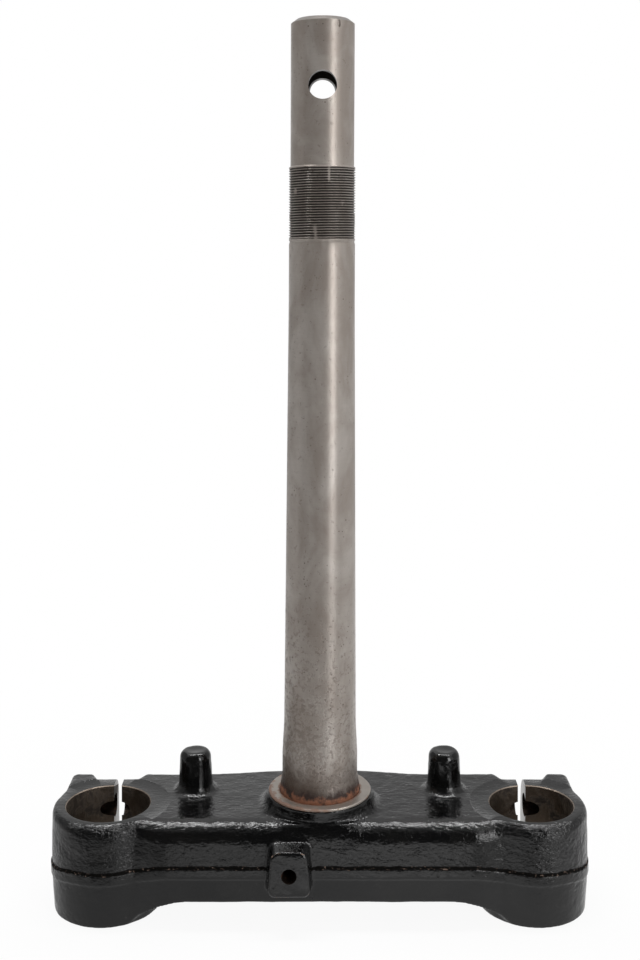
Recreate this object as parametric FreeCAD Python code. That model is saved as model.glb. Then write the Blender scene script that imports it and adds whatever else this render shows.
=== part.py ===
import FreeCAD, Part

import math
import os

# Lower triple clamp of a motorcycle fork, with its pressed-in steering stem.
# Millimetres. The steering axis is Z, the fork tubes stand either side of it
# along X, and the slits and pinch lugs are at the back, towards +Y.
# The origin is on the steering axis, level with the face that the lower
# bearing sits on.

# Fork tubes and the round clamps that grip them
fork_spacing = 168.4
fork_tube_d = 33.0
fork_clearance = 0.1
clamp_outer_r = 22.1
clamp_height = 39.7
clamp_top_round = 2.2
clamp_foot_round = 1.0
clamp_mouth_chamfer = 0.45
turned_chords = 2

# Shallow machined ring on top of each clamp
facing_d = 48.0
facing_depth = 0.3

# Forging draft and the trimmed flash that runs all round the parting line
upper_draft_deg = 1.0
lower_draft_deg = 3.2
beam_parting_drop = 16.4
clamp_parting_drop = 18.6
flash_height = 4.4
flash_proud = 0.5
flash_bevel = 0.4

# Beam between the clamps
beam_height = 30.0
beam_front = 20.9
beam_back = 28.6
beam_front_shoulder = 7.0
beam_back_round = 2.2
beam_foot_round = 2.0
bow_reach = 4.4
bow_half_width = 39.0
beam_corner_x = 71.9
beam_corner_round = 4.0
beam_arch_x = 62.4
beam_arch_round = 26.0

# Forged hollows in the underside, between the stem boss and the clamps
hollow_depth = 13.0
hollow_draft_deg = 7.0
hollow_round = 6.0
hollow_end_x = 53.0
stem_boss_wall = 10.5
hollow_front_wall = 7.5
hollow_back_wall = 7.5

# Raised boss under the bearing
boss_height = 5.1
boss_rim = 0.5
boss_flare = 3.6
boss_lean = 0.3

# Steering stem, a turned tube
stem_root_d = 31.5
stem_root_proud = 1.0
stem_bottom_recess = 1.0
seat_d = 29.7
seat_start = 7.0
seat_length = 8.0
shank_low_d = 28.4
shank_low_z = 27.3
shank_high_d = 25.84
shank_high_z = 194.0
thread_d = 26.0
thread_start = 217.8
thread_length = 28.0
thread_bevel = 0.4
nose_d = 24.8
stem_top = 302.9
nose_chamfer = 2.1
nose_chamfer_length = 1.6
stem_bore_d = 17.5
stem_bore_chamfer = 0.8
cross_hole_d = 11.0
cross_hole_z = 276.6

# Thin washer between the boss and the lower bearing
washer_width = 4.3
washer_thickness = 0.9
washer_clearance = 0.25

# Steering stops, tapered posts on top of the beam
stop_x = 50.7
stop_y = 13.0
stop_height = 16.6
stop_top_d = 12.2
stop_foot_d = 13.9
stop_top_round = 2.0
stop_foot_round = 3.0

# Slit and pinch bolts at the back of each clamp
slit_width = 3.1
slit_inset = 1.1
bolt_y = 20.0
bolt_edge = 9.5
bolt_hole_d = 9.2
bolt_thread_d = 6.8
bolt_lead_in = 6.0
bolt_thread_length = 12.0
lug_rear = 28.8
lug_end_x = 104.0
lug_inner_x = 69.0
lug_round = 8.4
lug_head_length = 8.5
lug_head_rear = 28.0
lug_head_round = 2.2
lug_end_round = 3.0

# Front tab with a tapped hole, left of the steering axis
tab_offset = 11.7
tab_face = 27.0
tab_top_drop = 7.7
tab_height = 17.1
tab_top_width = 13.6
tab_foot_width = 16.2
tab_round = 2.75
tab_side_flare = 1.6
tab_top_flare = 3.4
tab_foot_flare = 0.4
tab_root_depth = 9.0
tab_hole_drop = 16.6
tab_hole_d = 5.0
tab_hole_mouth_d = 6.2
tab_hole_length = 13.0

# Levels and radii that follow from the sizes above
forged_top = -(washer_thickness + boss_height)
clamp_top = forged_top - facing_depth
clamp_bottom = forged_top - clamp_height
beam_bottom = forged_top - beam_height
fork_x = fork_spacing / 2
fork_bore_r = (fork_tube_d + fork_clearance) / 2
slit_x = fork_x - slit_inset
stem_bottom = beam_bottom + stem_bottom_recess
bolt_levels = [clamp_top - bolt_edge, clamp_bottom + bolt_edge]
washer_hole_r = stem_root_d / 2 + washer_clearance
washer_r = washer_hole_r + washer_width
tab_x = -tab_offset
far = 2 * fork_spacing


def vector(x, y, z):
    return FreeCAD.Vector(x, y, z)


def closed_wire(corners, chords=0):
    """Closed wire through (point, radius) corners, rounded by arcs or by a few chords of them."""
    turns = []
    for index, (point, radius) in enumerate(corners):
        before = corners[index - 1][0]
        after = corners[(index + 1) % len(corners)][0]
        if radius == 0:
            turns.append((point, None, point))
            continue
        to_before = (before - point).normalize()
        to_after = (after - point).normalize()
        half_angle = to_before.getAngle(to_after) / 2
        reach = radius / math.tan(half_angle)
        to_centre = (to_before + to_after).normalize()
        middle = point + to_centre * (radius / math.sin(half_angle) - radius)
        turns.append((point + to_before * reach, middle, point + to_after * reach))
    edges = []
    for index, (start, middle, end) in enumerate(turns):
        if middle is not None and chords:
            stops = Part.Arc(start, middle, end).discretize(Number=chords + 1)
            edges += [Part.makeLine(first, second) for first, second in zip(stops, stops[1:])]
        elif middle is not None:
            edges.append(Part.Arc(start, middle, end).toShape())
        next_start = turns[(index + 1) % len(turns)][0]
        if (next_start - end).Length > 1e-6:
            edges.append(Part.makeLine(end, next_start))
    return Part.Wire(edges)


def revolved(profile, x, y):
    """Solid of revolution of (radius, height, corner round) points about an upright axis."""
    corners = [(vector(x + radius, y, z), corner) for radius, z, corner in profile]
    face = Part.Face(closed_wire(corners, turned_chords))
    return face.revolve(vector(x, y, 0), vector(0, 0, 1), 360)


def along_x(section, x_start, x_end):
    """Prism along X from (y, z, corner round) points."""
    corners = [(vector(x_start, y, z), corner) for y, z, corner in section]
    return Part.Face(closed_wire(corners)).extrude(vector(x_end - x_start, 0, 0))


def along_y(section, y_start, y_end):
    """Prism along Y from (x, z, corner round) points."""
    corners = [(vector(x, y_start, z), corner) for x, z, corner in section]
    return Part.Face(closed_wire(corners)).extrude(vector(0, y_end - y_start, 0))


def along_z(section, z_start, z_end):
    """Prism along Z from (x, y, corner round) points."""
    corners = [(vector(x, y, z_start), corner) for x, y, corner in section]
    return Part.Face(closed_wire(corners)).extrude(vector(0, 0, z_end - z_start))


def cylinder(radius, start, direction, length):
    return Part.makeCylinder(radius, length, start, direction)


def cone(start_radius, end_radius, start, direction, length):
    return Part.makeCone(start_radius, end_radius, length, start, direction)


def mirrored(shape):
    return shape.mirror(vector(0, 0, 0), vector(1, 0, 0))


def both_sides(shape):
    return [shape, mirrored(shape)]


def forged_wall(outer, bottom, parting_drop, top_round, foot_round):
    """Drafted wall with the flash on it, from the top edge to the bottom edge."""
    flash_top = forged_top - parting_drop
    flash_bottom = flash_top - flash_height
    upper_inset = parting_drop * math.tan(math.radians(upper_draft_deg))
    lower_inset = (flash_bottom - bottom) * math.tan(math.radians(lower_draft_deg))
    return [
        (outer - upper_inset, forged_top, top_round),
        (outer, flash_top, 0),
        (outer + flash_proud, flash_top - flash_bevel, 0),
        (outer + flash_proud, flash_bottom + flash_bevel, 0),
        (outer, flash_bottom, 0),
        (outer - lower_inset, bottom, foot_round),
    ]


def make_clamp_barrel():
    wall = forged_wall(clamp_outer_r, clamp_bottom, clamp_parting_drop, clamp_top_round, clamp_foot_round)
    profile = [(0, forged_top, 0)] + wall + [(0, clamp_bottom, 0)]
    return revolved(profile, fork_x, 0)


def make_beam():
    """The beam: its cross-section, its arched front view and its plan, all meeting."""
    front = forged_wall(beam_front, clamp_bottom, beam_parting_drop, beam_front_shoulder, 0)
    back = forged_wall(beam_back, clamp_bottom, beam_parting_drop, beam_back_round, 0)
    section = [(-y, z, corner) for y, z, corner in front]
    section += [(y, z, corner) for y, z, corner in reversed(back)]
    prism = along_x(section, -fork_x, fork_x)

    arch_drop = beam_bottom - clamp_bottom
    arch_foot_x = beam_arch_x + arch_drop
    front_view = [
        (-fork_x, 0, 0),
        (-fork_x, clamp_bottom, 0),
        (-arch_foot_x, clamp_bottom, 0),
        (-beam_arch_x, beam_bottom, beam_arch_round),
        (beam_arch_x, beam_bottom, beam_arch_round),
        (arch_foot_x, clamp_bottom, 0),
        (fork_x, clamp_bottom, 0),
        (fork_x, 0, 0),
    ]
    arched = along_y(front_view, -far, far)

    cut_back = beam_back + flash_proud
    plan = [
        (-fork_x, -far, 0),
        (fork_x, -far, 0),
        (fork_x, cut_back - (fork_x - beam_corner_x), 0),
        (beam_corner_x, cut_back, beam_corner_round),
        (-beam_corner_x, cut_back, beam_corner_round),
        (-fork_x, cut_back - (fork_x - beam_corner_x), 0),
    ]
    outline = along_z(plan, clamp_bottom, 0)
    return prism.common(arched).common(outline)


def make_rear_bow():
    """Shallow bow of the beam's back, which thickens the wall behind the stem."""
    bow_r = (bow_half_width**2 + bow_reach**2) / (2 * bow_reach)
    centre_y = beam_back + bow_reach - bow_r
    wall = forged_wall(bow_r, beam_bottom, beam_parting_drop, beam_back_round, beam_foot_round)
    profile = [(0, forged_top, 0)] + wall + [(0, beam_bottom, 0)]
    behind = Part.makeBox(fork_spacing, far, far, vector(-fork_x, 0, -far / 2))
    return revolved(profile, 0, centre_y).common(behind)


def make_bearing_boss():
    """Raised seat of the washer, flaring into the top and stopped at the front wall."""
    rim_r = washer_r + boss_rim
    foot_r = rim_r + boss_height * boss_lean
    toe_r = foot_r + boss_flare
    profile = [
        (0, -washer_thickness, 0),
        (rim_r, -washer_thickness, 0),
        (foot_r, forged_top, boss_flare),
        (toe_r + boss_flare, forged_top, 0),
        (toe_r + boss_flare, forged_top - boss_height, 0),
        (0, forged_top - boss_height, 0),
    ]
    boss = revolved(profile, 0, 0)
    shelf = [
        (-beam_front, -far, 0),
        (beam_back, -far, 0),
        (beam_back - beam_back_round, forged_top, 0),
        (beam_back - beam_back_round, 0, 0),
        (-beam_front, 0, 0),
    ]
    return boss.common(along_x(shelf, -far, far))


def make_stop_post():
    """Steering stop: a tapered post with a dished top and a filleted foot."""
    foot_r = stop_foot_d / 2
    profile = [
        (0, forged_top + stop_height, 0),
        (stop_top_d / 2, forged_top + stop_height, stop_top_round),
        (foot_r, forged_top, stop_foot_round),
        (foot_r + stop_foot_round, forged_top, 0),
        (foot_r, forged_top - stop_foot_round, 0),
        (0, forged_top - stop_foot_round, 0),
    ]
    return revolved(profile, stop_x, stop_y)


def make_lugs():
    """Pinch lugs: a rounded bar along the bolts, with a square end for their heads."""
    bar_section = [
        (0, forged_top, 0),
        (0, clamp_bottom, 0),
        (lug_rear, clamp_bottom, lug_round),
        (lug_rear, forged_top, lug_round),
    ]
    bar = along_x(bar_section, lug_inner_x, lug_end_x)
    bar_plan = [
        (0, 0, 0),
        (lug_end_x, 0, 0),
        (lug_end_x, lug_rear, lug_end_round),
        (lug_inner_x, lug_rear, beam_corner_round),
        (lug_inner_x, 0, 0),
    ]
    bar = bar.common(along_z(bar_plan, clamp_bottom, forged_top))

    wall = forged_wall(lug_head_rear, clamp_bottom, clamp_parting_drop, lug_head_round, lug_head_round)
    head_section = [(0, forged_top, 0)] + wall + [(0, clamp_bottom, 0)]
    head = along_x(head_section, fork_x, lug_end_x)
    head_back = lug_head_rear + flash_proud
    head_x = lug_end_x - lug_head_length
    head_plan = [
        (fork_x, 0, 0),
        (lug_end_x, 0, 0),
        (lug_end_x, head_back, lug_end_round),
        (head_x, head_back, lug_end_round / 2),
        (fork_x, head_back - (head_x - fork_x), 0),
    ]
    head = head.common(along_z(head_plan, clamp_bottom, forged_top))
    return [bar, head]


def make_tab():
    """Front tab: a drafted block with a rounded face, standing out of the front wall."""
    top = forged_top - tab_top_drop
    foot = top - tab_height

    def outline(y, side, rise, fall):
        corners = [
            (tab_x - tab_top_width / 2 - side, top + rise),
            (tab_x + tab_top_width / 2 + side, top + rise),
            (tab_x + tab_foot_width / 2 + side, foot - fall),
            (tab_x - tab_foot_width / 2 - side, foot - fall),
        ]
        return closed_wire([(vector(x, y, z), tab_round) for x, z in corners])

    face = outline(-tab_face, 0, 0, 0)
    root = outline(tab_root_depth - tab_face, tab_side_flare, tab_top_flare, tab_foot_flare)
    return Part.makeLoft([face, root], True, True)


def make_underside_hollow():
    """Forged hollow with drafted walls, in the right half of the underside."""
    inset = hollow_depth * math.tan(math.radians(hollow_draft_deg))
    near_x = stem_root_d / 2 + stem_boss_wall

    def outline(z, inward):
        corners = [
            (near_x + inward, -beam_front + hollow_front_wall + inward),
            (hollow_end_x - inward, -beam_front + hollow_front_wall + inward),
            (hollow_end_x - inward, beam_back - hollow_back_wall - inward),
            (near_x + inward, beam_back - hollow_back_wall - inward),
        ]
        return closed_wire([(vector(x, y, z), hollow_round - inward) for x, y in corners])

    below = beam_bottom - hollow_depth
    return Part.makeLoft([outline(below, -inset), outline(beam_bottom + hollow_depth, inset)], True, True)


def make_fork_bore():
    """Fork tube bore with chamfered mouths, and the machined ring above it."""
    up = vector(0, 0, 1)
    mouth_r = fork_bore_r + clamp_mouth_chamfer
    bore = cylinder(fork_bore_r, vector(fork_x, 0, clamp_bottom), up, clamp_height)
    upper = cone(mouth_r, fork_bore_r, vector(fork_x, 0, clamp_top), -up, clamp_mouth_chamfer)
    lower = cone(mouth_r, fork_bore_r, vector(fork_x, 0, clamp_bottom), up, clamp_mouth_chamfer)
    facing = cylinder(facing_d / 2, vector(fork_x, 0, clamp_top), up, facing_depth)
    return [bore, upper, lower, facing]


def make_slit():
    corner = vector(slit_x - slit_width / 2, 0, clamp_bottom)
    return Part.makeBox(slit_width, lug_rear + flash_proud, clamp_height, corner)


def make_bolt_hole(level):
    """Pinch bolt's path: clear hole across the slit, then the thread."""
    inward = vector(-1, 0, 0)
    lead_x = slit_x - slit_width / 2 - bolt_lead_in
    clear = cylinder(bolt_hole_d / 2, vector(lug_end_x, bolt_y, level), inward, lug_end_x - lead_x)
    thread = cylinder(bolt_thread_d / 2, vector(lead_x, bolt_y, level), inward, bolt_thread_length)
    tip = cone(bolt_thread_d / 2, 0, vector(lead_x - bolt_thread_length, bolt_y, level), inward, bolt_thread_d / 3)
    return [clear, thread, tip]


def make_tab_hole():
    """Blind tapped hole in the tab, with a countersunk mouth."""
    inward = vector(0, 1, 0)
    level = forged_top - tab_hole_drop
    mouth_depth = (tab_hole_mouth_d - tab_hole_d) / 2
    hole = cylinder(tab_hole_d / 2, vector(tab_x, -tab_face, level), inward, tab_hole_length)
    mouth = cone(tab_hole_mouth_d / 2, tab_hole_d / 2, vector(tab_x, -tab_face, level), inward, mouth_depth)
    tip = cone(tab_hole_d / 2, 0, vector(tab_x, tab_hole_length - tab_face, level), inward, tab_hole_d / 3)
    return [hole, mouth, tip]


def make_stem_bore():
    """Bore that the stem's root is pressed into, chamfered underneath."""
    up = vector(0, 0, 1)
    root_r = stem_root_d / 2
    bore = cylinder(root_r, vector(0, 0, beam_bottom), up, -beam_bottom)
    mouth_r = root_r + stem_bottom_recess
    mouth = cone(mouth_r, root_r, vector(0, 0, beam_bottom), up, stem_bottom_recess)
    return [bore, mouth]


def make_lower_yoke():
    solids = both_sides(make_clamp_barrel())
    solids += both_sides(make_stop_post())
    for lug in make_lugs():
        solids += both_sides(lug)
    solids += [make_rear_bow(), make_bearing_boss(), make_tab()]
    yoke = make_beam().fuse(solids)

    cuts = make_stem_bore() + make_tab_hole()
    paired = make_fork_bore() + [make_slit(), make_underside_hollow()]
    for level in bolt_levels:
        paired += make_bolt_hole(level)
    for tool in paired:
        cuts += both_sides(tool)
    return yoke.cut(cuts).removeSplitter()


def make_steering_stem():
    """Turned tube: pressed root, bearing seat, tapered shank, thread and plain nose."""
    thread_r = thread_d / 2
    thread_end = thread_start + thread_length
    seat_end = seat_start + seat_length
    profile = [
        (0, stem_bottom, 0),
        (stem_root_d / 2 - stem_bore_chamfer, stem_bottom, 0),
        (stem_root_d / 2, stem_bottom + stem_bore_chamfer, 0),
        (stem_root_d / 2, stem_root_proud, 0),
        (seat_d / 2, seat_start, 0),
        (seat_d / 2, seat_end, 0),
        (shank_low_d / 2, shank_low_z, 0),
        (shank_high_d / 2, shank_high_z, 0),
        (shank_high_d / 2, thread_start - thread_bevel, 0),
        (thread_r, thread_start, 0),
        (thread_r, thread_end - thread_bevel, 0),
        (nose_d / 2, thread_end + thread_bevel, 0),
        (nose_d / 2, stem_top - nose_chamfer_length, 0),
        (nose_d / 2 - nose_chamfer, stem_top, 0),
        (0, stem_top, 0),
    ]
    stem = revolved(profile, 0, 0)
    up = vector(0, 0, 1)
    bore_r = stem_bore_d / 2
    mouth_r = bore_r + stem_bore_chamfer
    bore = cylinder(bore_r, vector(0, 0, stem_bottom), up, stem_top - stem_bottom)
    lower = cone(mouth_r, bore_r, vector(0, 0, stem_bottom), up, stem_bore_chamfer)
    upper = cone(mouth_r, bore_r, vector(0, 0, stem_top), -up, stem_bore_chamfer)
    cross = cylinder(cross_hole_d / 2, vector(0, -stem_root_d, cross_hole_z), vector(0, 1, 0), 2 * stem_root_d)
    return stem.cut([bore, lower, upper, cross])


def make_dust_washer():
    profile = [
        (washer_hole_r, -washer_thickness, 0),
        (washer_r, -washer_thickness, 0),
        (washer_r, 0, 0),
        (washer_hole_r, 0, 0),
    ]
    return revolved(profile, 0, 0)


nodes = {
    "lower_yoke": make_lower_yoke(),
    "steering_stem": make_steering_stem(),
    "dust_washer": make_dust_washer(),
}

os.makedirs("parts", exist_ok=True)
for name, shape in nodes.items():
    solid = shape.Solids[0]
    print(name, "solids", len(shape.Solids), "valid", shape.isValid(), "volume", round(solid.Volume, 1))
    shape.exportStep("parts/" + name + ".step")
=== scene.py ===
import itertools
import math

import bpy
import numpy as np
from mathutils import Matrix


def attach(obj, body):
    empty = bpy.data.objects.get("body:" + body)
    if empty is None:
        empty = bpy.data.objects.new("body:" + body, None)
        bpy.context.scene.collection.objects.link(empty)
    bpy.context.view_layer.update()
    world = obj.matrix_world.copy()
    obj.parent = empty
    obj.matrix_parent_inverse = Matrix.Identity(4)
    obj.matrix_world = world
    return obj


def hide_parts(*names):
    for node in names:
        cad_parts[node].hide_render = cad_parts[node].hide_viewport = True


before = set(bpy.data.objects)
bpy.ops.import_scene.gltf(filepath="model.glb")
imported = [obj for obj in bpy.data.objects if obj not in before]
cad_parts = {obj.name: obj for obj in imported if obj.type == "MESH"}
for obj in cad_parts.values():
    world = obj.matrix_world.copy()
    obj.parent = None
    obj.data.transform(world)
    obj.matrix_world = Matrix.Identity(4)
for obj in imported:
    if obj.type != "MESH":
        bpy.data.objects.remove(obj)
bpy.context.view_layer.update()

import openvdb
from mathutils import Vector

# The lower triple clamp of a motorcycle fork: a forged, black-painted yoke, a
# turned steel stem and a thin washer. Shapes are worked out in millimetres in
# the part's own frame and become metres when a mesh is made.
for name in ("Cube", "Light", "Camera"):
    if name in bpy.data.objects:
        bpy.data.objects.remove(bpy.data.objects[name])
MM = 0.001

# Yoke, forged form
TOP = -6.0
CLAMP_FOOT = -45.7
BEAM_FOOT = -36.0
FORK_X = 84.2
CLAMP_R = 22.1
BEAM_FRONT = -20.9
BEAM_BACK = 28.6
BEAM_CORNER_X = 71.9
BOW_REACH = 4.4
BOW_HALF = 39.0
LUG_INNER_X = 70.0
LUG_END_X = 104.0
LUG_REAR = 28.8
ARCH_X = 62.8
ARCH_BLEND = 7.6
UPPER_DRAFT = math.tan(math.radians(1.0))
LOWER_DRAFT = math.tan(math.radians(3.2))
BEAM_PARTING = -24.6
CLAMP_PARTING = -26.8
FLASH_HALF = 2.2
FLASH_PROUD = 0.42
HOLLOW_NEAR = 26.25
HOLLOW_FAR = 53.0
HOLLOW_ROOF = -23.0
HOLLOW_WALL = 7.5
HOLLOW_DRAFT = 0.12
SADDLE_ROUND = 6.8
NECK_X = (58.0, 73.0)        # where the beam runs into the clamps
WAIST = 2.6                  # how far its front wall steps back there
END_DIP_X = (94.0, 107.0)    # where the parting line dips a second time
END_DIP = 2.4

# Yoke, machined form
FORK_R = 16.55
FACED_TOP = -6.3
FACING_R = 24.0
BORE_EDGE = 0.32
SLIT_X = 83.1
SLIT_WIDTH = 3.1
BOLT_Y = 20.0
BOLT_LEVELS = (-15.8, -36.2)
BOLT_R = 4.6
BOLT_CORE_R = 3.4
BOLT_LEAD_X = 75.55
BOLT_TIP_X = 63.55
STEM_ROOT_R = 15.75

# Steering stops, bearing boss and front tab
STOP_X = 50.7
STOP_Y = 13.0
STOP_TOP = 10.6
STOP_TOP_R = 6.1
STOP_FOOT_R = 6.95
BOSS_TOP = -0.9
BOSS_RIM_R = 20.8
BOSS_LEAN = 0.3
BOSS_SET_BACK = 0.85         # at the front, for each millimetre below the rim
TAB_X = -11.7
TAB_FACE = -27.0
TAB_TOP = -13.7
TAB_FOOT = -30.8
TAB_TOP_HALF = 6.8
TAB_FOOT_HALF = 8.1
TAB_HOLE_Z = -22.6
TAB_HOLE_R = 2.5
TAB_CORNER_R = 2.9
TAB_DEPTH = 9.0              # over this depth the tab grows by the next three
TAB_SIDE_GROWTH = 1.6
TAB_TOP_GROWTH = 2.5
TAB_FOOT_GROWTH = 0.4

# Stem and washer
STEM_BOTTOM = -35.0
STEM_TOP = 302.9
STEM_LEAN = 0.0041
STEM_BORE_R = 8.75
THREAD_START = 217.8
THREAD_END = 245.8
THREAD_R = 13.0
THREAD_PITCH = 1.0
CROSS_HOLE_R = 5.5
CROSS_HOLE_Z = 276.6
WASHER_R = 20.3
WASHER_HOLE_R = 16.0

# Meshes and noise
VOXEL = 0.5
GRID_LOW = (-109.0, -30.5, -47.5)
GRID_HIGH = (109.0, 35.5, 12.5)
YOKE_TRIANGLES = 170000
NOISE_CELLS = 64
SEED = 11
FORGED_SKIN = ((0.10, 9.0), (0.07, 3.1), (0.035, 1.4))     # height and width of its waves
FINE_RING = 192              # points round a large hole
SMALL_RING = 96              # points round a small one


def smooth_min(a, b, k):
    """Union of two distance fields, with a fillet of radius k between them."""
    outside = np.maximum(k, np.minimum(a, b))
    return outside - np.hypot(np.maximum(k - a, 0), np.maximum(k - b, 0))


def smooth_max(a, b, k):
    """Intersection of two distance fields, with their shared edge rounded by k."""
    return -smooth_min(-a, -b, k)


def ramp(value, low, high):
    """Smooth step from 0 at low to 1 at high."""
    t = np.clip((value - low) / (high - low), 0, 1)
    return t * t * (3 - 2 * t)


def lattice_noise(points, cell, seed):
    """Smooth noise between about -1 and 1 at each point, with features about cell wide."""
    shape = (NOISE_CELLS, NOISE_CELLS, NOISE_CELLS)
    values = np.random.default_rng(seed).uniform(-1, 1, shape).astype(np.float32)
    scaled = points / cell
    base = np.floor(scaled).astype(int)
    part = scaled - base
    part = part * part * (3 - 2 * part)
    total = np.zeros(len(points))
    for corner in np.ndindex(2, 2, 2):
        step = np.array(corner)
        index = (base + step) % NOISE_CELLS
        weight = np.prod(np.where(step == 1, part, 1 - part), axis=1)
        total += weight * values[index[:, 0], index[:, 1], index[:, 2]]
    return total


def yoke_plan(x, y):
    """Plan outline of the forging at its parting line, as a distance field."""
    side = np.abs(x)
    clamp = np.hypot(side - FORK_X, y) - CLAMP_R
    corner = (side + y - BEAM_CORNER_X - BEAM_BACK) / math.sqrt(2)
    front = BEAM_FRONT + WAIST * ramp(side, *NECK_X)
    beam = np.maximum(np.maximum(front - y, y - BEAM_BACK), side - FORK_X)
    beam = smooth_max(beam, corner, 3.0)
    bow_r = (BOW_HALF**2 + BOW_REACH**2) / (2 * BOW_REACH)
    bow = np.maximum(np.hypot(x, y - BEAM_BACK - BOW_REACH + bow_r) - bow_r, -y)
    lug = smooth_max(side - LUG_END_X, y - LUG_REAR, 3.0)
    lug = smooth_max(lug, LUG_INNER_X - side, 2.0)
    lug = np.maximum(lug, -y)
    plan = smooth_min(clamp, beam, 1.1)
    plan = smooth_min(plan, lug, 1.0)
    return smooth_min(plan, bow, 0.8)


def parting_level(x):
    """Height of the parting line, which dips round the clamps and again at their outer ends."""
    side = np.abs(x)
    dip = (CLAMP_PARTING - BEAM_PARTING) * ramp(side, *NECK_X)
    return BEAM_PARTING + dip - END_DIP * ramp(side, *END_DIP_X)


def forged_blank(x, y, z):
    """Drafted forging without its bosses, as a distance field."""
    side = np.abs(x)
    plan = yoke_plan(x, y)
    parting = parting_level(x)
    inset = UPPER_DRAFT * np.maximum(z - parting - FLASH_HALF, 0)
    inset = inset + LOWER_DRAFT * np.maximum(parting - FLASH_HALF - z, 0)

    # Rounds of the upper and lower edges, which differ at the front, the rear and the lugs
    lug_end = 1 - ramp(side, 92.5, 96.0)
    saddle = ramp(side, 72.0, 76.0) * lug_end
    rear_round = 1.6 + SADDLE_ROUND * saddle
    front_round = 7.5 - 2.5 * ramp(side, 62.0, 76.0) - 2.2 * ramp(side, 90.0, 103.0)
    rearward = ramp(y, -6.0, 8.0)
    top_round = front_round + (rear_round - front_round) * rearward
    lug_start = ramp(side, 63.0, 68.5)
    low_saddle = lug_start * lug_end
    foot_round = 0.4 + (1.2 + SADDLE_ROUND * low_saddle) * rearward * lug_start

    # Lower limit: an arch under the beam between the flat feet of the clamps
    slope = ((BEAM_FOOT - z) - (side - ARCH_X)) / math.sqrt(2)
    arch = smooth_min(BEAM_FOOT - z, slope, ARCH_BLEND)
    arch = smooth_max(arch, CLAMP_FOOT - z, 6.0)
    ring = np.hypot(side - FORK_X, y) - CLAMP_R + LOWER_DRAFT * (parting - CLAMP_FOOT)
    lug = np.maximum(LUG_INNER_X - side, -y)
    clamp_plan = np.minimum(ring, lug)
    clamp_foot = smooth_max(CLAMP_FOOT - z, clamp_plan, 0.5)
    foot = np.maximum(smooth_min(arch, clamp_foot, 2.5), CLAMP_FOOT - z)

    # Before the boss the wall's distance counts more, so the shoulder's round is narrower there
    squeeze = 1 + 1.8 * (1 - ramp(side, 9.0, 17.0)) * (1 - rearward)
    blank = smooth_max((plan + inset) * squeeze, z - TOP, top_round)
    blank = smooth_max(blank, foot, foot_round)
    flash = smooth_max(plan - FLASH_PROUD, np.abs(z - parting) - FLASH_HALF, 0.3)
    flash = np.maximum(flash, foot)
    return np.minimum(blank, flash)


def stop_post(x, y, z):
    """Steering stops: tapered posts with a shallow dish in the top."""
    radius = np.hypot(np.abs(x) - STOP_X, y - STOP_Y)
    height = (z - TOP) / (STOP_TOP - TOP)
    cone = radius - (STOP_FOOT_R + (STOP_TOP_R - STOP_FOOT_R) * height)
    post = smooth_max(cone, z - STOP_TOP, 3.0)
    dish = 13.0 - np.hypot(radius, z - STOP_TOP - 12.5)
    return np.maximum(smooth_max(post, dish, 1.2), TOP - 4 - z)


def bearing_boss(x, y, z):
    """Raised seat of the washer, run out into the front wall and set back there under its rim."""
    frontward = 1 - ramp(y, -20.0, -10.0)
    lean = (BOSS_LEAN - BOSS_SET_BACK * frontward) * np.clip(BOSS_TOP - z, 0, 5)
    boss = np.hypot(x, y) - BOSS_RIM_R - lean
    boss = smooth_max(boss, z - BOSS_TOP, 0.5)
    return smooth_max(boss, TOP - 3.0 - z, 2.0)


def tab_outline(x, y, z):
    """Rounded outline of the front tab, which grows towards the wall."""
    depth = (y - TAB_FACE) / TAB_DEPTH
    fall = (TAB_TOP - z) / (TAB_TOP - TAB_FOOT)
    half = TAB_TOP_HALF + (TAB_FOOT_HALF - TAB_TOP_HALF) * fall + TAB_SIDE_GROWTH * depth
    over = z - TAB_TOP - TAB_TOP_GROWTH * depth
    outline = smooth_max(np.abs(x - TAB_X) - half, over, TAB_CORNER_R)
    return smooth_max(outline, TAB_FOOT - TAB_FOOT_GROWTH * depth - z, TAB_CORNER_R)


def front_tab(x, y, z):
    """Front tab: drafted block with rounded corners."""
    tab = smooth_max(tab_outline(x, y, z), TAB_FACE - y, 0.7)
    return np.maximum(tab, y + 12)


def underside_hollow(x, y, z):
    """Drafted hollows either side of the stem boss."""
    rise = HOLLOW_DRAFT * (z - BEAM_FOOT)
    across = np.maximum(HOLLOW_NEAR - np.abs(x), np.abs(x) - HOLLOW_FAR) + rise
    along = np.maximum(BEAM_FRONT + HOLLOW_WALL - y, y - BEAM_BACK + HOLLOW_WALL) + rise
    return smooth_max(smooth_max(across, along, 6.0), z - HOLLOW_ROOF, 2.5)


def yoke_field(x, y, z):
    """The whole forging before machining, as a distance field."""
    field = forged_blank(x, y, z)
    boss_fillet = 1.2 + 1.8 * ramp(y, -17.0, -10.0)
    field = smooth_min(field, bearing_boss(x, y, z), boss_fillet)
    field = smooth_min(field, stop_post(x, y, z), 3.2)
    field = smooth_min(field, front_tab(x, y, z), 1.4)
    return smooth_max(field, -underside_hollow(x, y, z), 1.5)


def new_object(name, mesh):
    """Object in the scene made from a mesh, a lamp or a camera."""
    piece = bpy.data.objects.new(name, mesh)
    bpy.context.scene.collection.objects.link(piece)
    return piece


def mesh_from(name, points, faces):
    """Mesh in metres from points in millimetres and lists of vertex numbers."""
    mesh = bpy.data.meshes.new(name)
    mesh.from_pydata((np.asarray(points) * MM).tolist(), [], faces)
    mesh.validate()
    mesh.update()
    return mesh


def read_vectors(items, name):
    """One vector property of all vertices or faces, a row for each."""
    values = np.empty(len(items) * 3, np.float32)
    items.foreach_get(name, values)
    return values.reshape(-1, 3)


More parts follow.
